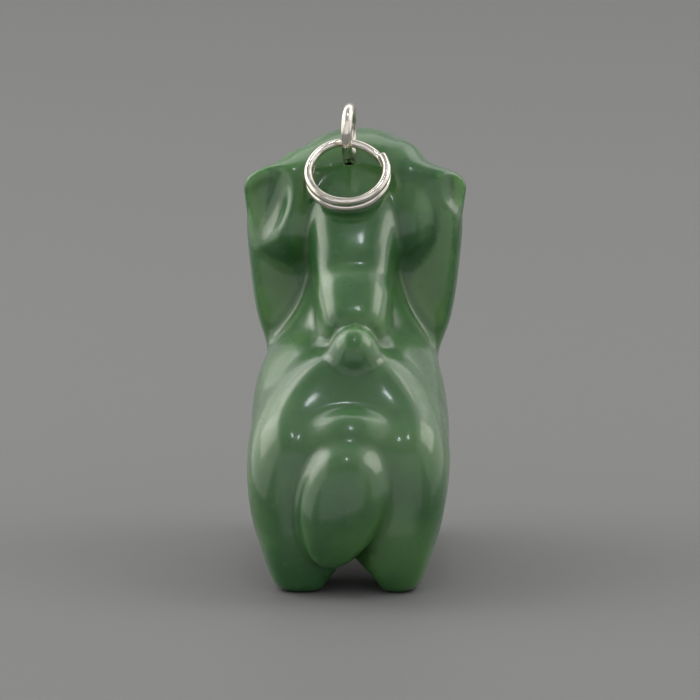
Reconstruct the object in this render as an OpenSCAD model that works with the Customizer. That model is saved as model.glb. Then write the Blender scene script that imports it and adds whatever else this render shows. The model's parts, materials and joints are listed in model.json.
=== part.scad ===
/* [Stone] */
// Width of the stone over both ear flaps
stone_width = 17.9; // [16:0.1:20]
// Length of the stone from the tail to the trunk
stone_length = 37.2; // [35:0.1:40]
// Height of the stone from the soles to the crown
stone_height = 32.8; // [31:0.1:34]

/* [Eye] */
// Outside diameter of the round eye
eye_d = 4.6; // [4.4:0.1:5]
// Thickness of the wire that the eye is bent from
eye_wire = 0.9; // [0.8:0.05:1]
// Diameter of the post below the eye
post_d = 1.0; // [0.9:0.05:1.1]
// Length of the post inside the stone
post_length = 4; // [3:0.5:6]
// Lean of the post from upright, toward the tail
post_lean = 15; // [5:1:25]
// Turn of the eye about its post
eye_turn = 5; // [0:1:10]

/* [Split ring] */
// Outside diameter of the split ring
split_d = 7.0; // [6.8:0.1:7.2]
// Thickness of its wire
split_wire = 0.7; // [0.6:0.05:0.75]
// Slope of the ring where it lies on the nape
split_slope = 41; // [36:1:42]
// Sideways tilt of the ring, its right side higher
split_tilt = 4; // [0:1:6]

/* [Hidden] */

// Sizes at which the lumps below are drawn, and the scale from them to the sizes above
drawn_size = [17.9, 37.2, 32.8];
scale_to_size = [stone_width / drawn_size.x, stone_length / drawn_size.y, stone_height / drawn_size.z];

// Gap round the post in its drilled hole, and between the eye or the ring and what it rests on
play = 0.05;
seat_gap = 0.1;

// The eye stands where the nape runs up into the crown
nape_slope = 39;
eye_foot = [for (i = [0:2]) [-0.5, 8.4, 30.92][i] * scale_to_size[i]];
eye_radius = (eye_d - eye_wire) / 2;
eye_rise = (eye_d / 2 + seat_gap) / cos(nape_slope - post_lean);
eye_centre = eye_foot + eye_rise * [0, -sin(post_lean), cos(post_lean)];

// The split ring hangs in the lower rear of the eye, by the wire that crosses between its two turns
hang = 20;
turn_gap = 0.04;
split_seat = eye_centre - (eye_d / 2 - eye_wire - split_wire / 2 - seat_gap) * [0, sin(hang), cos(hang)];
split_radius = (split_d - split_wire) / 2;
turn_pitch = split_wire + turn_gap;

// Angles along the split ring's wire: its first end, where it starts to cross and for how long, its whole
// turn, and where it lies in the eye
first_end = 28;
cross_from = 270;
cross_over = 90;
wire_turn = 594;
seat_turn = 301;
ring_step = 9;
ring_sides = 12;

// Rounded lumps that the stone is made of, in the order they are joined. Each row holds a name, 1 for a
// pair mirrored across X, the centre, the half sizes, pitch, roll and yaw, squareness, taper toward the
// bottom, width of the blend, and ADD, CARVE or TRIM.
ADD = 0;
CARVE = 1;
TRIM = 2;
LUMPS = [
    ["body",        0, [-0.15,  -1.8,  10.3], [ 8.2, 11.2, 8.15], [ 16,  -5,   0], 2.5,  0,    0,   ADD],
    ["rump",        0, [ -0.1,  -8.2,   9.4], [ 7.6,  5.6,  5.5], [  0,   0,   0], 2.3,  0,    2,   ADD],
    ["haunch",      1, [  2.9,  -8.7, 10.35], [ 4.6,    5,    9], [-22, -42,   0], 2.15, 0,    2,   ADD],
    ["chest",       0, [    0,   7.1,    12], [ 6.4,    7,    9], [  0,   0,   0], 2.3,  0,    3,   ADD],
    ["hind_left",   0, [ -3.8, -11.6,   5.6], [ 3.7,  4.6,  7.6], [ -8,   0,   0], 2.5,  0,    2,   ADD],
    ["hind_right",  0, [    4, -11.6,   5.6], [ 3.5,  4.6,  7.6], [ -8,   0,   0], 2.5,  0,    2,   ADD],
    ["fore_leg",    1, [  3.6,   9.1,     4], [ 2.6,  3.6,  7.5], [  0,   0,   0], 2.4,  0,    1.5, ADD],
    ["flanks",      0, [ -0.1,  -2.4,  10.6], [ 8.2,   60,   15], [  0,   0,   0], 2.0,  0,    1.2, TRIM],
    ["hollow",      0, [  0.2, -12.4,  15.3], [   3,  3.2,  1.5], [ 42,   0,   0], 2.0,  0,    3.2, CARVE],
    ["arch",        0, [  0.4, -11.4,     0], [ 2.5,    9,    2], [  0,   0,   0], 1.8,  0,    0.8, CARVE],
    ["neck",        0, [    0,   7.7,  22.6], [ 3.6,    9,    5], [ 39,   0,   0], 2.6,  0,    3,   ADD],
    ["roll_right",  0, [ 4.05,   7.5,    28], [   2,  4.9, 2.35], [ 46,  12,  19], 2.2,  0,    2.2, ADD],
    ["roll_left",   0, [-4.85,   7.4,  27.6], [ 2.3,  4.8,  2.4], [ 46, -12, -22], 2.2,  0,    2.4, ADD],
    ["head",        0, [  0.1,  12.8,  26.3], [ 6.4,  5.8,  6.3], [  0,   0,   0], 2.1,  0,    2,   ADD],
    ["ear",         1, [  5.5,   6.5,  22.9], [ 2.9,  1.6,  7.2], [-10,   3, -10], 3.0,  0.08, 1.4, ADD],
    ["ear_tip",     1, [  5.9,   7.9,  28.5], [ 2.6,  1.2,  1.9], [-20,   8, -10], 3.0,  0.2,  1.5, ADD],
    ["scoop_left",  0, [   -8,   3.9,  28.2], [ 2.6,  2.9,    5], [-14,  24,   0], 2.0,  0,    0.6, CARVE],
    ["scoop_right", 0, [  8.6,   4.9,  29.3], [ 1.7,  2.2,  2.6], [-14, -10,   0], 2.0,  0,    0.5, CARVE],
    ["ridge_top",   0, [    0,   7.9, 27.78], [2.95,    8,    2], [ 31,   0,   0], 2.4,  0,    1,   ADD],
    ["ridge",       0, [    0,  2.44, 24.08], [   3,  6.8,  1.9], [ 41,   0,   0], 2.4,  0,    0.8, ADD],
    ["ridge_low",   0, [  0.2,  -2.4,  20.1], [ 2.6,  3.3,  2.4], [ 34,   0,   0], 2.4,  0,    0.6, ADD],
    ["bulb",        0, [  0.3,  -6.6,  17.7], [   2,  2.4,  2.2], [ 30,   0,   0], 2.0,  0,    0.5, ADD],
    ["tail_root",   0, [  0.1, -12.6,   9.2], [ 4.5,  3.4,  4.9], [-14,   8,   0], 2.1,  0,    1,   ADD],
    ["tail",        0, [ -0.5, -15.9,     7], [3.45,  2.6,    5], [-16,  16,   0], 2.0,  0.16, 0.8, ADD],
    ["trunk",       0, [    0,  15.8,    20], [ 2.7,  2.8,  6.5], [  4,   0,   0], 2.0,  0,    2,   ADD],
    ["trunk_tip",   0, [    0,    15,  11.5], [ 2.1,  2.2,  7.5], [ -2,   0,   0], 2.2,  0.1,  1.5, ADD],
];

// From the object's axes to a lump's own, for a lump turned about X, then Y, then Z
function untwist(a) =
    let (X = [[1, 0, 0], [0, cos(a.x), sin(a.x)], [0, -sin(a.x), cos(a.x)]],
         Y = [[cos(a.y), 0, -sin(a.y)], [0, 1, 0], [sin(a.y), 0, cos(a.y)]],
         Z = [[cos(a.z), sin(a.z), 0], [-sin(a.z), cos(a.z), 0], [0, 0, 1]])
    X * Y * Z;

// One entry a lump, two a pair: centre, axes, half sizes, squareness, taper, blend, mode and reach
reach_margin = 1.25;
function lumps_ready() = [for (row = LUMPS) for (side = row[1] == 1 ? [1, -1] : [1])
    let (c = row[2], r = row[3], a = row[4])
    [[side * c.x, c.y, c.z], untwist([a.x, side * a.y, side * a.z]), r,
     row[5], row[6], row[7], row[8], max(r) * reach_margin]];

// Distance from a point to a lump's surface, negative inside it. The taper stops a little past the lump's
// ends, and tiny keeps the powers off zero.
taper_end = 1.2;
tiny = 1e-6;
function lump_distance(p, lump) =
    let (q = lump[1] * (p - lump[0]), r = lump[2], n = lump[3],
         narrow = 1 + lump[4] * max(-taper_end, min(taper_end, q.z / r.z)),
         u = [abs(q.x / narrow) / r.x + tiny, abs(q.y / narrow) / r.y + tiny, abs(q.z) / r.z + tiny],
         v = [pow(u.x, n - 1), pow(u.y, n - 1), pow(u.z, n - 1)],
         f = v * u,
         k = pow(f, 1 / n),
         slope = norm([v.x / r.x, v.y / r.y, v.z / r.z]) * k / f)
    (k - 1) / slope;

// Smaller of two distances, rounded over where they are within a blend of each other
function soft_min(a, b, blend) = blend <= 0 ? min(a, b) :
    let (h = max(blend - abs(a - b), 0) / blend)
    min(a, b) - h * h * blend / 4;

function joined(d, p, lump) =
    lump[6] == ADD && norm(p - lump[0]) - lump[7] > d + lump[5] ? d :
    let (e = lump_distance(p, lump))
    lump[6] == ADD ? soft_min(d, e, lump[5]) :
    lump[6] == CARVE ? -soft_min(-d, e, lump[5]) : -soft_min(-d, -e, lump[5]);

// Distance from a point to the stone's surface, with flat soles that round up into the legs
sole_edge = 0.8;
function stone(p, lumps, i = 0, d = 1000) =
    i == len(lumps) ? -soft_min(-d, p.z, sole_edge) : stone(p, lumps, i + 1, joined(d, p, lumps[i]));

// How the distance changes along X, Y and Z, from points a small step apart
small_step = 0.02;
function slope_of_stone(p, lumps, e = small_step) =
    [for (u = [[e, 0, 0], [0, e, 0], [0, 0, e]]) (stone(p + u, lumps) - stone(p - u, lumps)) / (2 * e)];

// One step from a point near the surface onto it, and onto the plane of the soles where it is close to that
least_slope = 0.3;
sole_reach = 0.05;
function settled(p, lumps) =
    let (g = slope_of_stone(p, lumps),
         q = p - g * stone(p, lumps) / max(least_slope, g * g))
    [q.x, q.y, abs(q.z) < sole_reach ? 0 : q.z];

// Two triangles over four points, split along the shorter diagonal
function quad(q, flip, points) =
    let (r = flip ? [q[3], q[2], q[1], q[0]] : q,
         first = norm(points[r[0]] - points[r[2]]) <= norm(points[r[1]] - points[r[3]]))
    first ? [[r[0], r[1], r[2]], [r[0], r[2], r[3]]] : [[r[0], r[1], r[3]], [r[1], r[2], r[3]]];

// The surface is netted over a grid: one point in each cell that it crosses, joined across the edges.
// Blocks of cells whose middle is far from the surface are passed over.
grid_step = 1;
grid_low = [-9.5, -20.4];
grid_high = [9.5, 20.4, 34];
block = 3;
far_margin = 1.3;
module carved_stone() {
    lumps = lumps_ready();
    h = grid_step;
    low = [grid_low.x, grid_low.y, -h / 2];
    cells = [for (i = [0:2]) ceil((grid_high[i] - low[i]) / h)];
    at = function(i, j, k) low + h * [i, j, k];
    far = far_margin * block * h * sqrt(3) / 2;
    middle_of = function(i) (i + 0.5) * block;
    coarse = [for (i = [0:ceil(cells.x / block)]) [for (j = [0:ceil(cells.y / block)])
        [for (k = [0:ceil(cells.z / block)]) stone(at(middle_of(i), middle_of(j), middle_of(k)), lumps)]]];
    d = [for (i = [0:cells.x]) [for (j = [0:cells.y]) [for (k = [0:cells.z])
        let (near = coarse[floor(i / block)][floor(j / block)][floor(k / block)])
        abs(near) > far ? near : stone(at(i, j, k), lumps)]]];
    corners = [for (a = [0, 1], b = [0, 1], c = [0, 1]) [a, b, c]];
    edges = [[0, 1], [2, 3], [4, 5], [6, 7], [0, 2], [1, 3], [4, 6], [5, 7], [0, 4], [1, 5], [2, 6], [3, 7]];
    found = [for (i = [0:cells.x - 1], j = [0:cells.y - 1], k = [0:cells.z - 1])
        let (v = [for (c = corners) d[i + c.x][j + c.y][k + c.z]])
        min(v) >= 0 || max(v) < 0 ? undef :
        let (crossed = [for (e = edges) if ((v[e[0]] < 0) != (v[e[1]] < 0))
                 corners[e[0]] + (corners[e[1]] - corners[e[0]]) * v[e[0]] / (v[e[0]] - v[e[1]])],
             middle = [for (c = crossed) 1] * crossed / len(crossed),
             p = at(i + middle.x, j + middle.y, k + middle.z))
        settled(p, lumps)];
    number = [for (n = 0, s = 0; n < len(found); s = s + (is_undef(found[n]) ? 0 : 1), n = n + 1) s];
    net = [for (p = found) if (!is_undef(p)) p];
    id = function(i, j, k) number[(i * cells.y + j) * cells.z + k];
    faces = [for (i = [0:cells.x - 1], j = [0:cells.y - 1], k = [0:cells.z - 1])
        let (inside = d[i][j][k] < 0)
        each [
            if (j > 0 && k > 0 && inside != (d[i + 1][j][k] < 0))
                each quad([id(i, j - 1, k - 1), id(i, j, k - 1), id(i, j, k), id(i, j - 1, k)], inside, net),
            if (i > 0 && k > 0 && inside != (d[i][j + 1][k] < 0))
                each quad([id(i - 1, j, k - 1), id(i - 1, j, k), id(i, j, k), id(i, j, k - 1)], inside, net),
            if (i > 0 && j > 0 && inside != (d[i][j][k + 1] < 0))
                each quad([id(i - 1, j - 1, k), id(i, j - 1, k), id(i, j, k), id(i - 1, j, k)], inside, net)
        ]];
    scaled = [for (p = net) [p.x * scale_to_size.x, p.y * scale_to_size.y, p.z * scale_to_size.z]];
    polyhedron(scaled, faces, convexity = 8);
}

// The carved animal, with the blind hole for the post drilled down from the nape
module jade_figure() {
    color("darkgreen") difference() {
        carved_stone();
        translate(eye_foot) rotate([post_lean, 0, 0]) translate([0, 0, -post_length - play])
            cylinder(d = post_d + 2 * play, h = post_length + eye_d, $fn = 48);
    }
}

// Round eye and its post, soldered into one piece
module eye_pin() {
    color("silver") translate(eye_centre) rotate([post_lean, 0, 0]) rotate([0, 0, -eye_turn]) {
        rotate([0, 90, 0]) rotate_extrude($fn = 72) translate([eye_radius, 0]) circle(d = eye_wire, $fn = 32);
        translate([0, 0, -eye_rise - post_length])
            cylinder(d = post_d, h = eye_rise + post_length - eye_radius, $fn = 48);
    }
}

// Middle of the split ring's wire after a turn from its first end: once round, a crossing, once round
function wire_middle(turn) =
    let (a = first_end - turn,
         f = max(0, min(1, (turn - cross_from) / cross_over)),
         drop = f * f * (3 - 2 * f))
    [split_radius * cos(a), split_radius * sin(a), turn_pitch * (0.5 - drop)];

// Split ring, swept along its wire and laid on the nape
module split_ring() {
    stations = [for (t = [0:ring_step:wire_turn]) t];
    points = [for (t = stations, s = [0:ring_sides - 1])
        let (b = s * 360 / ring_sides, out = split_wire / 2 * cos(b), a = first_end - t)
        wire_middle(t) + [out * cos(a), out * sin(a), split_wire / 2 * sin(b)]];
    last = (len(stations) - 1) * ring_sides;
    side = [for (n = [0:len(stations) - 2], s = [0:ring_sides - 1])
        let (a = n * ring_sides + s, b = n * ring_sides + (s + 1) % ring_sides)
        each [[a, a + ring_sides, b], [b, a + ring_sides, b + ring_sides]]];
    start = [for (s = [0:ring_sides - 1]) s];
    end = [for (s = [ring_sides - 1:-1:0]) last + s];
    color("gainsboro") translate(split_seat) rotate([0, -split_tilt, 0]) rotate([split_slope, 0, 0])
        translate(-wire_middle(seat_turn)) polyhedron(points, concat([start, end], side), convexity = 6);
}

jade_figure();
eye_pin();
split_ring();
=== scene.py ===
"""Jade pendant: a small carved animal seen from behind, with a silver eye and split ring at its nape.

The stone is one netted surface over the same rounded lumps as the CAD solid, with a few rows eased for the
shine. The eye is netted too, and the split ring is swept along its wire. Lengths are in millimetres in the
tables and functions, and in metres in the settings, the stage and Blender.
"""

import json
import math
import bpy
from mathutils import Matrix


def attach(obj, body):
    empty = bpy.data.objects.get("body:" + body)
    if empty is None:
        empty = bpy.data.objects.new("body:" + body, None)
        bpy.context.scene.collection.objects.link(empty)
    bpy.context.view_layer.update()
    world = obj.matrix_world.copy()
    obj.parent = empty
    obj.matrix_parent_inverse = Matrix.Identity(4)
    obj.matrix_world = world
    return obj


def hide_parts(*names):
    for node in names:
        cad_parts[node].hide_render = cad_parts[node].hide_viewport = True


bl_info = {
    "name": "Jade Pendant",
    "version": (1, 0, 0),
    "blender": (4, 5, 0),
    "location": "View3D > Sidebar > Pendant",
    "description": "Builds a carved jade pendant with its silver fittings",
    "category": "Object",
}

from collections import namedtuple

import bpy
import numpy as np
from mathutils import Matrix, Vector

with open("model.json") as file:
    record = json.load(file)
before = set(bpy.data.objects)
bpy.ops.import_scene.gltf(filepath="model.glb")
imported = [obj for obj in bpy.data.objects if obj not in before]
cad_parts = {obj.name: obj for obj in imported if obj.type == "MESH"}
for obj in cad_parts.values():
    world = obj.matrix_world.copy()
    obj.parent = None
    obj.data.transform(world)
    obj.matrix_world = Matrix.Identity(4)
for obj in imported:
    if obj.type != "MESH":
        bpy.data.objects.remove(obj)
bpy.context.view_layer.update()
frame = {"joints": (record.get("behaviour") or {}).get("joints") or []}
MM = 0.001

# Ways in which a lump joins the stone
ADD, CARVE, TRIM = range(3)

# Rounded lumps in the order they are joined, as in the solid: name, mirrored pair or not, centre, half sizes,
# turns about X, Y and Z in degrees, squareness, taper toward the bottom, width of the blend, and the way
Lump = namedtuple("Lump", "name pair centre half turn square taper blend way")
LUMPS = (
    Lump("body", False, (-0.15, -1.8, 10.3), (8.2, 11.2, 8.15), (16, -5, 0), 2.5, 0, 0, ADD),
    Lump("rump", False, (-0.1, -8.2, 9.4), (7.6, 5.6, 5.5), (0, 0, 0), 2.3, 0, 2, ADD),
    Lump("haunch", True, (2.9, -8.7, 10.35), (4.6, 5, 9), (-22, -42, 0), 2.15, 0, 2, ADD),
    Lump("chest", False, (0, 7.1, 12), (6.4, 7, 9), (0, 0, 0), 2.3, 0, 3, ADD),
    Lump("hind_left", False, (-3.8, -11.6, 5.6), (3.7, 4.6, 7.6), (-8, 0, 0), 2.5, 0, 2, ADD),
    Lump("hind_right", False, (4, -11.6, 5.6), (3.5, 4.6, 7.6), (-8, 0, 0), 2.5, 0, 2, ADD),
    Lump("fore_leg", True, (3.6, 9.1, 4), (2.6, 3.6, 7.5), (0, 0, 0), 2.4, 0, 1.5, ADD),
    Lump("flanks", False, (-0.1, -2.4, 10.6), (8.2, 60, 15), (0, 0, 0), 2, 0, 1.2, TRIM),
    Lump("hollow", False, (0.2, -12.5, 15.4), (2.8, 3, 1.3), (42, 0, 0), 2, 0, 4.2, CARVE),
    Lump("arch", False, (0.4, -11.4, 0), (2.5, 9, 2), (0, 0, 0), 1.8, 0, 0.8, CARVE),
    Lump("neck", False, (0, 7.7, 22.6), (3.6, 9, 5), (39, 0, 0), 2.6, 0, 3, ADD),
    Lump("roll_right", False, (4.05, 7.5, 28), (2, 4.9, 2.35), (46, 12, 19), 2.2, 0, 2.2, ADD),
    Lump("roll_left", False, (-4.85, 7.4, 27.6), (2.3, 4.8, 2.4), (46, -12, -22), 2.2, 0, 2.4, ADD),
    Lump("head", False, (0.2, 12.8, 26.3), (6, 5.8, 6.3), (0, 0, 0), 2.6, 0, 2, ADD),
    Lump("ear", True, (5.5, 6.5, 22.9), (2.9, 1.6, 7.2), (-10, 3, -10), 3, 0.08, 1.4, ADD),
    Lump("ear_tip", True, (5.9, 7.9, 28.5), (2.6, 1.2, 1.9), (-20, 8, -10), 3, 0.2, 1.5, ADD),
    Lump("scoop_left", False, (-8, 3.9, 28.2), (2.6, 2.9, 5), (-14, 24, 0), 2, 0, 0.6, CARVE),
    Lump("scoop_right", False, (8.6, 4.9, 29.3), (1.7, 2.2, 2.6), (-14, -10, 0), 2, 0, 0.5, CARVE),
    Lump("ridge_top", False, (0, 7.5, 27.5), (2.9, 7.4, 1.9), (31, 0, 0), 3, 0, 1.8, ADD),
    Lump("ridge", False, (0, 2.44, 24.08), (2.9, 6.8, 1.8), (41, 0, 0), 3.2, 0, 1.3, ADD),
    Lump("ridge_low", False, (0.2, -2.4, 20.1), (2.6, 3.3, 2.3), (34, 0, 0), 2.8, 0, 1.4, ADD),
    Lump("bulb", False, (0.3, -6.6, 17.7), (2, 2.4, 2.2), (30, 0, 0), 2, 0, 0.6, ADD),
    Lump("tail_root", False, (0.1, -12.6, 9.2), (4.5, 3.4, 4.9), (-14, 8, 0), 2.1, 0, 1, ADD),
    Lump("tail", False, (-0.5, -15.9, 7), (3.45, 2.6, 5), (-16, 16, 0), 2, 0.16, 0.8, ADD),
    Lump("trunk", False, (0, 15.8, 20), (2.7, 2.8, 6.5), (4, 0, 0), 2, 0, 2, ADD),
    Lump("trunk_tip", False, (0, 15, 11.5), (2.1, 2.2, 7.5), (-2, 0, 0), 2.2, 0.1, 1.5, ADD),
    Lump("countersink", False, (-0.5, 8.35, 31), (0.64, 0.64, 0.2), (36, 0, 0), 2, 0, 0.1, CARVE),
)
# Rounding between the flat soles and the legs
SOLE_EDGE = 0.8
# A taper stops changing this many half heights from a lump's middle
TAPER_END = 1.2
# Keeps a lump's own middle from giving a power of nought
TINY = 1e-6
# The stone's net reaches this far along X and Y to both sides, and up
STONE_ROOM = (9.6, 19.6, 33.4)
# Depths at which the stone is probed for its thickness, and how far light gets through it
PROBE_DEPTHS = np.arange(0.5, 12, 0.75)
CLEAR_DEPTH = 4.0

# Corners and edges of a grid cell, for the net
CORNERS = np.array([(a, b, c) for a in (0, 1) for b in (0, 1) for c in (0, 1)])
EDGES = ((0, 1), (2, 3), (4, 5), (6, 7), (0, 2), (1, 3), (4, 6), (5, 7), (0, 4), (1, 5), (2, 6), (3, 7))
# Cells along each side of a coarse block, and the share past its corners that still counts as near
BLOCK = 4
FAR_MARGIN = 1.3
# Rounds that move the net onto the surface, and the gentlest slope they trust
SETTLE_ROUNDS = 2
LEAST_SLOPE = 0.3

# Round eye and its post: its middle, how it leans and turns, the post's lower end below that middle, the
# post's width, the solder's fillet, the net's spacing, and the net's reach round the eye and below the post
EYE_CENTRE = (-0.5, 7.72, 33.458)
POST_LEAN = math.radians(15)
EYE_TURN = math.radians(5)
POST_END = 6.6
POST_WIDTH = 1.0
SOLDER_FILLET = 0.35
EYE_GRID = 0.06
EYE_ROOM = (0.75, 2.5, 2.5)
POST_ROOM = 0.1

# Split ring: how it lies, then in degrees along its wire its length, where it starts round the ring, where
# it crosses to the lower turn and over how much, and where it sits in the eye
SPLIT_SLOPE = math.radians(41)
SPLIT_TILT = math.radians(4)
WIRE_TURN = 594
FIRST_END = 28
CROSS_FROM = 270
CROSS_OVER = 90
SEAT_TURN = 301
SEAT = frame["joints"][0]["pos_m"]
# Gap between its turns, its sides, the bevel at its cut ends, and degrees from one section to the next
TURN_GAP = 0.04
WIRE_SIDES = 24
CUT_BEVEL = 0.08
SECTION_TURN = 3
# Half the turn over which the wire's direction is taken
AIM_TURN = 0.5

# Drawing marks are this much shorter along the wire in the pattern, so that they run along it
MARK_STRETCH = 0.12
# Width of the felted fibres and depth of the ripples they leave, and depth of the drawing marks
FELT_SIZE = 0.5
RIPPLE_DEPTH = 0.05
MARK_DEPTH = 0.03
# Height from one vein to the next, and the phase of a wave texture after a metre at scale 1
VEIN_SPACING = 26.18
WAVE_PHASE = 20

# Camera: sensor, far limit of its view, and the middle of its view to the right of the origin and up
SENSOR_WIDTH = 36
VIEW_END = 10
VIEW_MIDDLE = (-0.2, 16.68)

# Soft lights, in metres and watts: name, direction from the object to the camera's right, up and toward the
# camera, distance, width and height, power, and tint
Light = namedtuple("Light", "name toward distance size power tint")
LIGHTS = (
    Light("panel_left", (-0.883, 0.423, -0.204), 0.5, (0.95, 0.75), 2.1, "FFFDF6"),
    Light("panel_right", (0.853, 0.5, -0.15), 0.5, (0.85, 0.85), 1.25, "FFFDF6"),
    Light("panel_back", (-0.1, 0.84, -0.55), 0.5, (0.8, 0.25), 0.55, "FFFFFF"),
    Light("panel_front", (0, 0.12, 1), 0.7, (1.4, 1), 2, "FFFFFF"),
    Light("softbox_left", (-0.72, 0.64, -0.2), 0.4, (0.26, 0.25), 0.46, "FFFEF2"),
    Light("softbox_right", (0.7, 0.68, -0.12), 0.4, (0.22, 0.22), 0.42, "FFFEF2"),
    Light("overhead", (0.03, 0.95, 0.3), 0.5, (0.025, 0.06), 0.11, "F2F8FF"),
)
LIT_POINT = (0, 0, 0.017)


def linear(hex_colour):
    """Linear RGB of an sRGB hex colour such as "2F5A32"."""
    shares = [int(hex_colour[i:i + 2], 16) / 255 for i in (0, 2, 4)]
    return [c / 12.92 if c <= 0.04045 else ((c + 0.055) / 1.055) ** 2.4 for c in shares]


def rgba(colour):
    """A linear colour with full alpha, for a socket."""
    return (*colour[:3], 1)


def soft_min(a, b, blend):
    """Smaller of two distances, rounded over where they are within a blend of each other."""
    if blend <= 0:
        return np.minimum(a, b)
    h = np.maximum(blend - np.abs(a - b), 0) / blend
    return np.minimum(a, b) - h * h * blend / 4


def own_axes(turn):
    """Matrix from a lump's own axes to the object's, turned about X, then Y, then Z."""
    about_x, about_y, about_z = [Matrix.Rotation(math.radians(a), 3, n) for a, n in zip(turn, "XYZ")]
    return np.array(about_z @ about_y @ about_x)


def lump_distance(points, lump, side):
    """Distance from each point to one lump's surface, negative inside it."""
    pitch, roll, yaw = lump.turn
    centre = np.array(lump.centre) * (side, 1, 1)
    half = np.array(lump.half)
    q = (points - centre) @ own_axes((pitch, side * roll, side * yaw))
    narrow = 1 + lump.taper * np.clip(q[:, 2] / half[2], -TAPER_END, TAPER_END)
    q[:, 0] /= narrow
    q[:, 1] /= narrow
    u = np.abs(q) / half + TINY
    v = u ** (lump.square - 1)
    f = (u * v).sum(axis=1)
    k = f ** (1 / lump.square)
    slope = np.linalg.norm(v / half, axis=1) * k / f
    return (k - 1) / slope


def stone_distance(points):
    """Distance from each point to the carved stone, with flat soles that round up into the legs."""
    d = np.full(len(points), 1000.0)
    for lump in LUMPS:
        for side in (1, -1) if lump.pair else (1,):
            e = lump_distance(points, lump, side)
            if lump.way == ADD:
                d = soft_min(d, e, lump.blend)
            elif lump.way == CARVE:
                d = -soft_min(-d, e, lump.blend)
            else:
                d = -soft_min(-d, -e, lump.blend)
    return -soft_min(-d, points[:, 2], SOLE_EDGE)


def eye_distance(radius, wire):
    """Distance to the eye and its post about their own axes, with a small fillet of solder between them."""
    def distance(points):
        round_eye = np.hypot(np.hypot(points[:, 1], points[:, 2]) - radius, points[:, 0]) - wire / 2
        across = np.hypot(points[:, 0], points[:, 1]) - POST_WIDTH / 2
        along = np.abs(points[:, 2] + (POST_END + radius) / 2) - (POST_END - radius) / 2
        straight = np.maximum(across, along)
        return soft_min(round_eye, straight, SOLDER_FILLET)
    return distance


def slopes(distance, points, step):
    """How the distance changes along X, Y and Z."""
    pairs = [distance(points + a) - distance(points - a) for a in np.eye(3) * step]
    return np.stack(pairs, axis=1) / (2 * step)


def near_cells(distance, low, high, step):
    """Distances on a grid, exact near the surface and coarse in blocks that are far from it."""
    blocks = np.ceil((high - low) / (step * BLOCK)).astype(int)
    middles = np.argwhere(np.ones(blocks)) + 0.5
    coarse = distance(low + middles * BLOCK * step).reshape(blocks)
    reach = FAR_MARGIN * BLOCK * step * math.sqrt(3) / 2
    grid = coarse.repeat(BLOCK, 0).repeat(BLOCK, 1).repeat(BLOCK, 2)
    near = np.abs(grid) < reach
    grid[near] = distance(low + np.argwhere(near) * step)
    return grid


def net_points(distance, grid, low, step):
    """One point in each cell that the surface crosses, moved onto the surface, and the cells' numbers."""
    inside = grid < 0
    size = np.array(grid.shape) - 1
    count = np.zeros(size, dtype=int)
    for a, b, c in CORNERS:
        count += inside[a:a + size[0], b:b + size[1], c:c + size[2]]
    cells = np.argwhere((count > 0) & (count < len(CORNERS)))
    values = np.stack([grid[tuple((cells + c).T)] for c in CORNERS], axis=1)
    total = np.zeros((len(cells), 3))
    crossings = np.zeros((len(cells), 1))
    for a, b in EDGES:
        crossed = (values[:, a] < 0) != (values[:, b] < 0)
        gap = np.where(crossed, values[:, a] - values[:, b], 1)
        share = (values[:, a] / gap)[:, None]
        total += np.where(crossed[:, None], CORNERS[a] + (CORNERS[b] - CORNERS[a]) * share, 0)
        crossings += crossed[:, None]
    points = low + (cells + total / crossings) * step
    for _ in range(SETTLE_ROUNDS):
        slope = slopes(distance, points, step / 10)
        steep = np.maximum((slope ** 2).sum(axis=1), LEAST_SLOPE)
        points = points - slope * (distance(points) / steep)[:, None]
    number = np.full(grid.shape, -1)
    number[tuple(cells.T)] = np.arange(len(cells))
    return points, number


def net_faces(grid, number):
    """Four-sided faces across each grid edge that the surface crosses, facing outward."""
    inside = grid < 0
    faces = []
    for axis, one, two in ((0, 1, 2), (1, 2, 0), (2, 0, 1)):
        first = inside[tuple(slice(0, -1) if k == axis else slice(1, None) for k in range(3))]
        second = inside[1:, 1:, 1:]
        at = np.argwhere(first != second)
        cell = at + [0 if k == axis else 1 for k in range(3)]
        step_one, step_two = np.eye(3, dtype=int)[[one, two]]
        ring = (cell - step_one - step_two, cell - step_two, cell, cell - step_one)
        quads = np.stack([number[tuple(c.T)] for c in ring], axis=1)
        outward = first[tuple(at.T)]
        quads[~outward] = quads[~outward][:, ::-1]
        faces.append(quads)
    return np.concatenate(faces)


def netted_mesh(name, distance, low, high, step):
    """Closed mesh in metres of a surface given by its distance, with its points and slopes in millimetres."""
    low, high = np.array(low, dtype=float), np.array(high, dtype=float)
    grid = near_cells(distance, low, high, step)
    points, number = net_points(distance, grid, low, step)
    faces = net_faces(grid, number)
    if faces.min() < 0:
        raise ValueError(name + " reaches past the grid it is netted on")
    mesh = bpy.data.meshes.new(name)
    mesh.from_pydata((points * MM).tolist(), [], faces.tolist())
    mesh.shade_smooth()
    slope = slopes(distance, points, step / 10)
    mesh.normals_split_custom_set_from_vertices((slope / np.linalg.norm(slope, axis=1)[:, None]).tolist())
    return mesh, points, slope


def thinness(points, slope):
    """Share of light that gets through the stone at each point, from the stone's thickness behind it."""
    inward = -slope / np.linalg.norm(slope, axis=1)[:, None]
    thickness = np.full(len(points), float(PROBE_DEPTHS[-1]))
    found = np.zeros(len(points), dtype=bool)
    for depth in PROBE_DEPTHS:
        out = stone_distance(points + inward * depth) > 0
        thickness[out & ~found] = depth
        found |= out
    return np.exp(-thickness / CLEAR_DEPTH)


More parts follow.
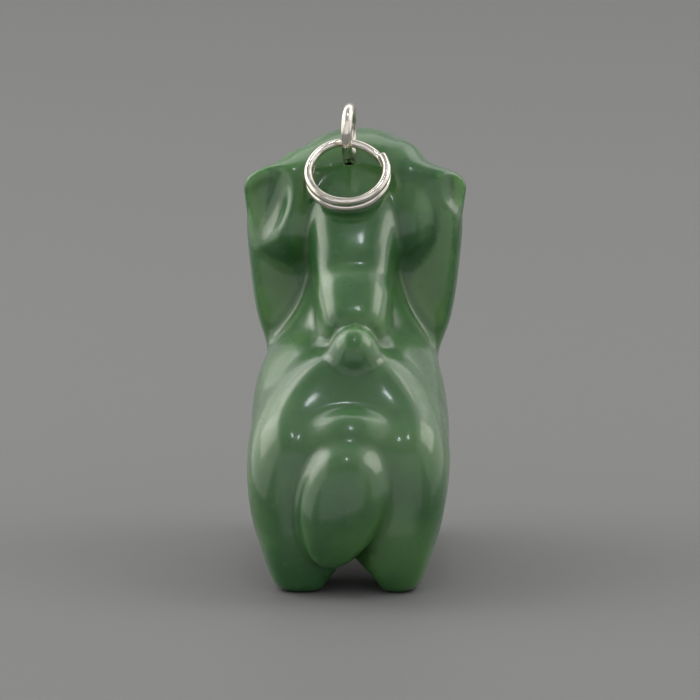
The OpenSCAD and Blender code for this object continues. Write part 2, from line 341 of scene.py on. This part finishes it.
def wire_middle(turn, radius, pitch):
    """Middle of the split ring's wire after a turn in degrees from its first end."""
    a = math.radians(FIRST_END - turn)
    f = max(0, min(1, (turn - CROSS_FROM) / CROSS_OVER))
    drop = f * f * (3 - 2 * f)
    return Vector((radius * math.cos(a), radius * math.sin(a), pitch * (0.5 - drop)))


def place_on_wire(mesh, places):
    """Keep where each point lies on the wire, across it and along it, for the drawing marks."""
    kept = mesh.attributes.new("wire_place", "FLOAT_VECTOR", "POINT")
    kept.data.foreach_set("vector", (np.array(places) * MM).ravel())


def piece(name, mesh, body, node, material):
    """Object of one mesh that rides on its body, stands for its CAD node and takes the given finish."""
    made = bpy.data.objects.new(name, mesh)
    bpy.context.scene.collection.objects.link(made)
    mesh.materials.append(material)
    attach(made, body)
    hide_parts(node)
    return made


def add_node(tree, kind, settings=None, links=None):
    """Node of one kind with its settings, by attribute or input name, and the sockets that feed its inputs."""
    node = tree.nodes.new(kind)
    for key, value in (settings or {}).items():
        if isinstance(key, str) and hasattr(node, key):
            setattr(node, key, value)
        else:
            node.inputs[key].default_value = value
    for key, socket in (links or {}).items():
        tree.links.new(socket, node.inputs[key])
    return node


def new_material(name):
    """Empty node material and its tree."""
    material = bpy.data.materials.new(name)
    material.use_nodes = True
    material.node_tree.nodes.clear()
    return material, material.node_tree


def polished_nephrite(settings):
    """Nephrite jade, sawn, ground and polished by hand."""
    # Gives the eye a waxy to glassy skin with clear reflections, over a deep green with a painted glow: a
    # lighter green is mixed in where the stone is thin, as if light came through it
    material, tree = new_material("polished_nephrite")
    place = add_node(tree, "ShaderNodeTexCoord")
    thin_glow = add_node(tree, "ShaderNodeAttribute", {"attribute_name": "thinness"})
    clouds = add_node(tree, "ShaderNodeTexNoise", {"Scale": 1 / settings.cloud_size, "Detail": 3.0},
                      {"Vector": place.outputs["Object"]})
    flecks = add_node(tree, "ShaderNodeTexNoise", {"Scale": 1 / settings.fleck_size, "Detail": 2.0},
                      {"Vector": place.outputs["Object"]})
    cloudy = add_node(tree, "ShaderNodeMapRange",
                      {"From Min": 0.35, "From Max": 0.65, "To Min": -0.2, "To Max": 0.2},
                      {"Value": clouds.outputs["Fac"]})
    # Painted glow: where light would come through the thin stone, the thin green is mixed into the deep green,
    # with random cloudy tone on top
    share = add_node(tree, "ShaderNodeMath", {"operation": "ADD", "use_clamp": True},
                     {0: thin_glow.outputs["Fac"], 1: cloudy.outputs["Result"]})
    green = add_node(tree, "ShaderNodeMix", {"data_type": "RGBA"}, {0: share.outputs["Value"]})
    green.inputs[6].default_value = rgba(settings.deep)
    green.inputs[7].default_value = rgba(settings.thin_glow)
    spots = add_node(tree, "ShaderNodeMapRange",
                     {"From Min": 0.62, "From Max": 0.75, "To Min": 0.0, "To Max": 0.5},
                     {"Value": flecks.outputs["Fac"]})
    flecked = add_node(tree, "ShaderNodeMix", {"data_type": "RGBA"},
                       {0: spots.outputs["Result"], 6: green.outputs[2]})
    flecked.inputs[7].default_value = rgba(settings.fleck)
    # Pale veins run slanting through the stone, as faint and soft as the one in the tail
    vein = add_node(tree, "ShaderNodeTexWave",
                    {"wave_type": "BANDS", "bands_direction": "Z", "Distortion": 5.0, "Detail": 2.0,
                     "Detail Scale": 0.6, "Scale": math.tau / (WAVE_PHASE * VEIN_SPACING * MM)},
                    {"Vector": place.outputs["Object"]})
    vein_share = add_node(tree, "ShaderNodeMapRange", {"From Min": 0.86, "From Max": 1.0, "To Max": 0.45},
                          {"Value": vein.outputs["Fac"]})
    streaked = add_node(tree, "ShaderNodeMix", {"data_type": "RGBA"},
                        {0: vein_share.outputs["Result"], 6: flecked.outputs[2]})
    streaked.inputs[7].default_value = rgba(settings.fleck)
    # Nephrite's felted fibres take the polish unevenly. They are far finer than this, and are drawn half a
    # millimetre wide so that they show
    felt = add_node(tree, "ShaderNodeTexNoise", {"Scale": 1 / (FELT_SIZE * MM), "Detail": 4.0, "Roughness": 0.6},
                    {"Vector": place.outputs["Object"]})
    felt_gloss = add_node(tree, "ShaderNodeMapRange",
                          {"From Min": 0.3, "From Max": 0.7, "To Min": 0.27, "To Max": 0.41},
                          {"Value": felt.outputs["Fac"]})
    ripples = add_node(tree, "ShaderNodeBump", {"Strength": 0.1, "Distance": RIPPLE_DEPTH * MM},
                       {"Height": felt.outputs["Fac"]})
    # Green light goes furthest into nephrite, so it spreads twice as far as red and blue
    shader = add_node(tree, "ShaderNodeBsdfPrincipled", {
        "IOR": 1.61,
        "Specular IOR Level": 0.25,
        "Coat Weight": 0.5,
        "Coat Roughness": 0.12,
        "Coat IOR": 1.61,
        "Subsurface Weight": 1.0,
        "Subsurface Radius": (0.8, 2.0, 0.7),
        "Subsurface Scale": settings.light_depth,
    }, {"Base Color": streaked.outputs[2], "Roughness": felt_gloss.outputs["Result"],
        "Normal": ripples.outputs["Normal"]})
    add_node(tree, "ShaderNodeOutputMaterial", {}, {"Surface": shader.outputs["BSDF"]})
    return material


def polished_silver(settings):
    """Sterling silver wire, drawn, bent, soldered and tumble polished."""
    # Gives the eye bright, slightly warm reflections, broken by fine marks that run along the wire, whose
    # deepest parts are painted dark as streaks of dark reflection. The marks are some hundredths of a millimetre
    # apart, and are drawn wider so that they show
    material, tree = new_material("polished_sterling_silver")
    wire = add_node(tree, "ShaderNodeAttribute", {"attribute_name": "wire_place"})
    marks = add_node(tree, "ShaderNodeTexNoise",
                     {"Scale": 1 / settings.mark_size, "Detail": 3.0, "Roughness": 0.6},
                     {"Vector": wire.outputs["Vector"]})
    rough = add_node(tree, "ShaderNodeMapRange",
                     {"From Min": 0.3, "From Max": 0.7, "To Min": 0.1, "To Max": 0.24},
                     {"Value": marks.outputs["Fac"]})
    # A little tarnish stays in the deepest marks, and these are painted darker still as streaks of dark
    # reflection along the wire
    tarnish_and_dark_reflection = add_node(tree, "ShaderNodeMapRange",
                       {"From Min": 0.54, "From Max": 0.66, "To Min": 0.0, "To Max": 0.75},
                       {"Value": marks.outputs["Fac"]})
    tone = add_node(tree, "ShaderNodeMix", {"data_type": "RGBA"}, {0: tarnish_and_dark_reflection.outputs["Result"]})
    tone.inputs[6].default_value = rgba(settings.colour)
    tone.inputs[7].default_value = rgba(settings.tarnish_and_dark_reflection)
    grooves = add_node(tree, "ShaderNodeBump", {"Strength": 0.35, "Distance": MARK_DEPTH * MM},
                       {"Height": marks.outputs["Fac"]})
    shader = add_node(tree, "ShaderNodeBsdfPrincipled", {"Metallic": 1.0},
                      {"Base Color": tone.outputs[2], "Roughness": rough.outputs["Result"],
                       "Normal": grooves.outputs["Normal"]})
    add_node(tree, "ShaderNodeOutputMaterial", {}, {"Surface": shader.outputs["BSDF"]})
    return material


def matt_card(settings):
    """Uncoated grey card, pressed smooth."""
    # Gives the eye an even, plain and pale ground with no gloss of its own
    material, tree = new_material("matt_card")
    shader = add_node(tree, "ShaderNodeBsdfPrincipled", {"Base Color": rgba(settings.paper), "Roughness": 0.6})
    add_node(tree, "ShaderNodeOutputMaterial", {}, {"Surface": shader.outputs["BSDF"]})
    return material


def add_light(light, toward):
    """Soft rectangular light in a direction from the object, facing it."""
    data = bpy.data.lights.new(light.name, "AREA")
    data.shape = "RECTANGLE"
    data.size, data.size_y = light.size
    data.energy = light.power
    data.color = linear(light.tint)
    lamp = bpy.data.objects.new(light.name, data)
    lamp.location = Vector(LIT_POINT) + toward.normalized() * light.distance
    lamp.rotation_euler = toward.to_track_quat("Z", "Y").to_euler()
    lamp.visible_camera = False
    bpy.context.scene.collection.objects.link(lamp)


def add_camera(settings, right, up, back):
    """Camera that looks at the middle of the photograph's view."""
    data = bpy.data.cameras.new("camera")
    data.sensor_width = SENSOR_WIDTH
    data.lens = SENSOR_WIDTH * settings.distance / settings.view_width
    data.clip_end = VIEW_END
    camera = bpy.data.objects.new("camera", data)
    target = (right * VIEW_MIDDLE[0] + up * VIEW_MIDDLE[1]) * MM
    camera.location = target + back * settings.distance
    camera.rotation_euler = Matrix((right, up, back)).transposed().to_euler()
    bpy.context.scene.collection.objects.link(camera)
    bpy.context.scene.camera = camera


class StoneSettings(bpy.types.PropertyGroup):
    """Net, colours and pattern sizes of the stone"""
    grid: bpy.props.FloatProperty(
        name="Net spacing", description="Spacing of the grid that the carved surface is netted on",
        default=0.25 * MM, min=0.2 * MM, max=1 * MM, unit="LENGTH", precision=5)
    deep: bpy.props.FloatVectorProperty(
        name="Deep green", description="Colour of the stone where it is thick",
        default=linear("2F5E30"), size=3, subtype="COLOR")
    # Painted glow: colour mixed in where light would come through the thin stone
    thin_glow: bpy.props.FloatVectorProperty(
        name="Thin green", description="Colour of the stone where light comes through it",
        default=linear("6E9A54"), size=3, subtype="COLOR")
    fleck: bpy.props.FloatVectorProperty(
        name="Flecks", description="Colour of the pale flecks and veins in the stone",
        default=linear("4E7049"), size=3, subtype="COLOR")
    cloud_size: bpy.props.FloatProperty(
        name="Cloud size", description="Width of the cloudy patches in the stone",
        default=6 * MM, unit="LENGTH", precision=5)
    fleck_size: bpy.props.FloatProperty(
        name="Fleck size", description="Width of the small flecks in the stone",
        default=0.7 * MM, unit="LENGTH", precision=5)
    light_depth: bpy.props.FloatProperty(
        name="Light depth", description="How far light gets into the stone",
        default=1 * MM, unit="LENGTH", precision=5)


class SilverSettings(bpy.types.PropertyGroup):
    """Sizes and colours of the silver fittings"""
    eye_outside: bpy.props.FloatProperty(
        name="Eye diameter", description="Outside diameter of the round eye",
        default=4.6 * MM, unit="LENGTH", precision=5)
    eye_wire: bpy.props.FloatProperty(
        name="Eye wire", description="Thickness of the eye's wire",
        default=0.9 * MM, unit="LENGTH", precision=5)
    ring_outside: bpy.props.FloatProperty(
        name="Ring diameter", description="Outside diameter of the split ring",
        default=7 * MM, unit="LENGTH", precision=5)
    ring_wire: bpy.props.FloatProperty(
        name="Ring wire", description="Thickness of the split ring's wire",
        default=0.7 * MM, unit="LENGTH", precision=5)
    colour: bpy.props.FloatVectorProperty(
        name="Silver", description="Colour of the polished silver",
        default=linear("E8E2D8"), size=3, subtype="COLOR")
    # Tarnish in the drawing marks, darkened further to paint dark reflection streaks
    tarnish_and_dark_reflection: bpy.props.FloatVectorProperty(
        name="Tarnish", description="Colour of the tarnish that stays in the drawing marks",
        default=linear("6B6459"), size=3, subtype="COLOR")
    mark_size: bpy.props.FloatProperty(
        name="Mark size", description="Spacing of the drawing marks round the wire",
        default=0.2 * MM, unit="LENGTH", precision=5)


class StageSettings(bpy.types.PropertyGroup):
    """Camera, card and room of the stage"""
    azimuth: bpy.props.FloatProperty(
        name="Azimuth", description="Turn of the camera about the object, from straight behind it",
        default=math.radians(1.5), subtype="ANGLE")
    elevation: bpy.props.FloatProperty(
        name="Elevation", description="Height of the camera above the level",
        default=math.radians(10), subtype="ANGLE")
    distance: bpy.props.FloatProperty(
        name="Distance", description="Distance from the camera to the object",
        default=1.5, unit="LENGTH")
    view_width: bpy.props.FloatProperty(
        name="View width", description="Width of the view at the object",
        default=56.3 * MM, unit="LENGTH", precision=5)
    card_size: bpy.props.FloatProperty(
        name="Card size", description="Width of the square card under the object",
        default=1.6, unit="LENGTH")
    paper: bpy.props.FloatVectorProperty(
        name="Card", description="Colour of the card under the object",
        default=linear("707071"), size=3, subtype="COLOR")
    room: bpy.props.FloatVectorProperty(
        name="Room", description="Colour of the light from all round",
        default=linear("B4B4B4"), size=3, subtype="COLOR")
    room_light: bpy.props.FloatProperty(
        name="Room light", description="Strength of the light from all round", default=0.9)


class PENDANT_OT_stone(bpy.types.Operator):
    """Net the carved stone over its lumps and give it polished nephrite"""
    bl_idname = "pendant.stone"
    bl_label = "Carved stone"

    def execute(self, context):
        settings = context.scene.pendant_stone
        step = settings.grid / MM
        low = (-STONE_ROOM[0], -STONE_ROOM[1], -step / 2)
        mesh, points, slope = netted_mesh("jade_carving", stone_distance, low, STONE_ROOM, step)
        # Share of light through the stone at each point, which paints a lighter green glow where it is thin
        share = mesh.attributes.new("thinness", "FLOAT", "POINT")
        share.data.foreach_set("value", thinness(points, slope))
        piece("jade_carving", mesh, "figure", "jade_figure", polished_nephrite(settings))
        return {"FINISHED"}


class PENDANT_OT_eye(bpy.types.Operator):
    """Net the round eye and its post as one soldered piece of polished silver"""
    bl_idname = "pendant.eye"
    bl_label = "Eye and post"

    def execute(self, context):
        settings = context.scene.pendant_silver
        wire = settings.eye_wire / MM
        radius = (settings.eye_outside / MM - wire) / 2
        low = (-EYE_ROOM[0], -EYE_ROOM[1], -POST_END - POST_ROOM)
        mesh, points, _ = netted_mesh("silver_eye", eye_distance(radius, wire), low, EYE_ROOM, EYE_GRID)
        x, y, z = points.T
        round_part = np.stack([x, np.hypot(y, z) - radius, np.arctan2(y, z) * radius * MARK_STRETCH], axis=1)
        post_part = np.stack([x, y, z * MARK_STRETCH], axis=1)
        place_on_wire(mesh, np.where((z < -radius)[:, None], post_part, round_part))
        turn = Matrix.Rotation(POST_LEAN, 4, "X") @ Matrix.Rotation(-EYE_TURN, 4, "Z")
        mesh.transform(Matrix.Translation(Vector(EYE_CENTRE) * MM) @ turn)
        piece("silver_eye", mesh, "figure", "eye_pin", polished_silver(settings))
        return {"FINISHED"}


class PENDANT_OT_split_ring(bpy.types.Operator):
    """Sweep the split ring along its two turns of wire in polished silver"""
    bl_idname = "pendant.split_ring"
    bl_label = "Split ring"

    def execute(self, context):
        settings = context.scene.pendant_silver
        wire = settings.ring_wire / MM
        radius = (settings.ring_outside / MM - wire) / 2
        pitch = wire + TURN_GAP
        ends = [(math.degrees(along / radius), size)
                for along, size in ((0, 1 - 2 * CUT_BEVEL / wire), (CUT_BEVEL, 1))]
        sections = [*ends]
        sections += [(t, 1) for t in range(SECTION_TURN, WIRE_TURN - SECTION_TURN + 1, SECTION_TURN)]
        sections += [(WIRE_TURN - turn, size) for turn, size in reversed(ends)]
        verts = []
        places = []
        for turn, size in sections:
            middle = wire_middle(turn, radius, pitch)
            ahead = wire_middle(turn + AIM_TURN, radius, pitch)
            behind = wire_middle(turn - AIM_TURN, radius, pitch)
            along = (ahead - behind).normalized()
            outward = Vector((middle.x, middle.y, 0)).normalized()
            outward = (outward - along * outward.dot(along)).normalized()
            upward = outward.cross(along)
            for s in range(WIRE_SIDES):
                b = math.tau * s / WIRE_SIDES
                verts.append(middle + (outward * math.cos(b) + upward * math.sin(b)) * (size * wire / 2))
                places.append((math.cos(b) * wire / 2, math.sin(b) * wire / 2,
                               math.radians(turn) * radius * MARK_STRETCH))
        faces = []
        for n in range(len(sections) - 1):
            for s in range(WIRE_SIDES):
                a, b = n * WIRE_SIDES + s, n * WIRE_SIDES + (s + 1) % WIRE_SIDES
                faces.append((a, b, b + WIRE_SIDES, a + WIRE_SIDES))
        faces.append(tuple(reversed(range(WIRE_SIDES))))
        faces.append(tuple(range(len(verts) - WIRE_SIDES, len(verts))))
        mesh = bpy.data.meshes.new("silver_split_ring")
        mesh.from_pydata([v * MM for v in verts], [], faces)
        mesh.shade_smooth()
        place_on_wire(mesh, places)
        turn = Matrix.Rotation(-SPLIT_TILT, 4, "Y") @ Matrix.Rotation(SPLIT_SLOPE, 4, "X")
        mesh.transform(Matrix.Translation(-wire_middle(SEAT_TURN, radius, pitch) * MM))
        mesh.transform(Matrix.Translation(Vector(SEAT)) @ turn)
        piece("silver_split_ring", mesh, "ring", "split_ring", polished_silver(settings))
        return {"FINISHED"}


class PENDANT_OT_stage(bpy.types.Operator):
    """Lay the card, and set the camera and the soft lights"""
    bl_idname = "pendant.stage"
    bl_label = "Stage"

    def execute(self, context):
        settings = context.scene.pendant_stage
        a, e = settings.azimuth, settings.elevation
        right = Vector((math.cos(a), math.sin(a), 0))
        back = Vector((math.sin(a) * math.cos(e), -math.cos(a) * math.cos(e), math.sin(e)))
        up = back.cross(right)
        add_camera(settings, right, up, back)
        for light in LIGHTS:
            x, y, z = light.toward
            add_light(light, right * x + up * y + back * z)

        reach = settings.card_size / 2
        verts = [(x, y, 0) for x in (-reach, reach) for y in (-reach, reach)]
        mesh = bpy.data.meshes.new("card")
        mesh.from_pydata(verts, [], [(0, 2, 3, 1)])
        mesh.materials.append(matt_card(settings))
        card = bpy.data.objects.new("card", mesh)
        context.scene.collection.objects.link(card)

        world = bpy.data.worlds.new("studio")
        world.use_nodes = True
        background = world.node_tree.nodes["Background"]
        background.inputs["Color"].default_value = rgba(settings.room)
        background.inputs["Strength"].default_value = settings.room_light
        context.scene.world = world
        context.scene.view_settings.view_transform = "Standard"
        return {"FINISHED"}


class PENDANT_PT_panel(bpy.types.Panel):
    """Buttons that build the pendant piece by piece"""
    bl_idname = "PENDANT_PT_panel"
    bl_label = "Jade Pendant"
    bl_space_type = "VIEW_3D"
    bl_region_type = "UI"
    bl_category = "Pendant"

    def draw(self, context):
        for operator in (PENDANT_OT_stone, PENDANT_OT_eye, PENDANT_OT_split_ring, PENDANT_OT_stage):
            self.layout.operator(operator.bl_idname)


CLASSES = (
    StoneSettings,
    SilverSettings,
    StageSettings,
    PENDANT_OT_stone,
    PENDANT_OT_eye,
    PENDANT_OT_split_ring,
    PENDANT_OT_stage,
    PENDANT_PT_panel,
)


def register():
    """Register the classes and hang the settings on the scene."""
    for cls in CLASSES:
        bpy.utils.register_class(cls)
    bpy.types.Scene.pendant_stone = bpy.props.PointerProperty(type=StoneSettings)
    bpy.types.Scene.pendant_silver = bpy.props.PointerProperty(type=SilverSettings)
    bpy.types.Scene.pendant_stage = bpy.props.PointerProperty(type=StageSettings)


def unregister():
    """Take the settings off the scene and unregister the classes."""
    del bpy.types.Scene.pendant_stage
    del bpy.types.Scene.pendant_silver
    del bpy.types.Scene.pendant_stone
    for cls in reversed(CLASSES):
        bpy.utils.unregister_class(cls)


def main():
    register()
    bpy.ops.pendant.stage()
    bpy.ops.pendant.stone()
    bpy.ops.pendant.eye()
    bpy.ops.pendant.split_ring()


if __name__ == "__main__":
    main()
